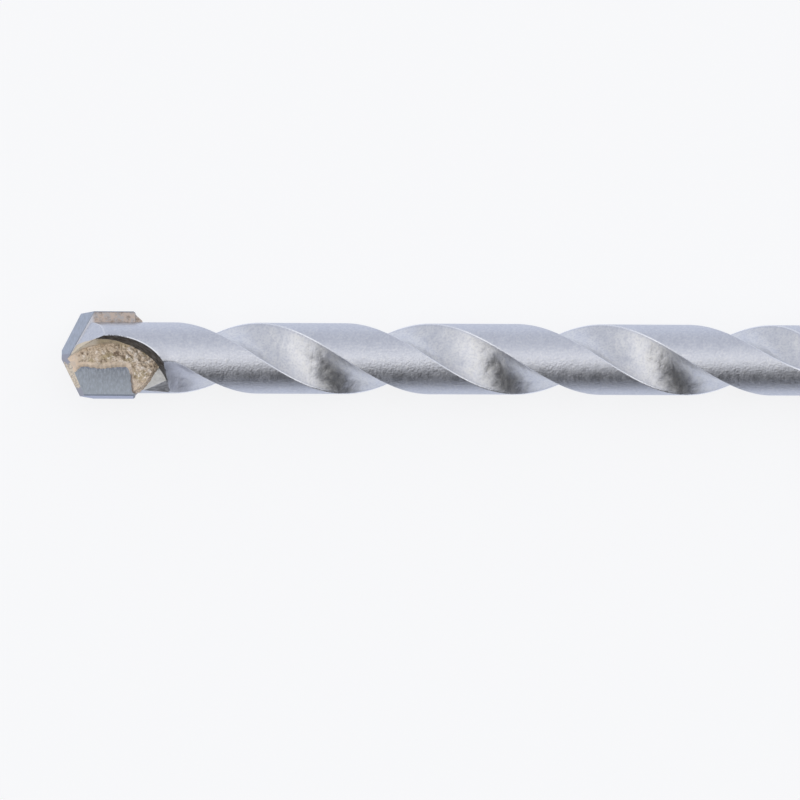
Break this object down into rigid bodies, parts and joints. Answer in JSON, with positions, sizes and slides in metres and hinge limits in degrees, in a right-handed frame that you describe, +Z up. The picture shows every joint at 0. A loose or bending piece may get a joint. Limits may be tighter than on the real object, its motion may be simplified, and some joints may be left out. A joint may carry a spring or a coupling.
{
  "type": "masonry drill bit",
  "caption": "Masonry drill bit: a round steel rod with right-hand helical flutes, a flat carbide plate brazed across its tip and a plain round shank.",
  "frame": {"origin": "on the rod's axis, at the middle of the 60 mm plain shank", "axes": "+X along the rod from the tip to the shank's domed end, +Y level along the carbide plate, +Z up from the surface that the bit lies on"},
  "size_m": [0.15, 0.01, 0.0082],
  "materials": {
    "blasted_steel": "fine sand-blasted, satin silver",
    "ground_carbide": "ground, dull blue-grey",
    "braze": "rough as cast, golden brown with flux stains"
  },
  "bodies": {
    "root": {"drill_body": "blasted_steel", "carbide_plate": "ground_carbide", "braze_filler": "braze"}
  },
  "joints": []
}
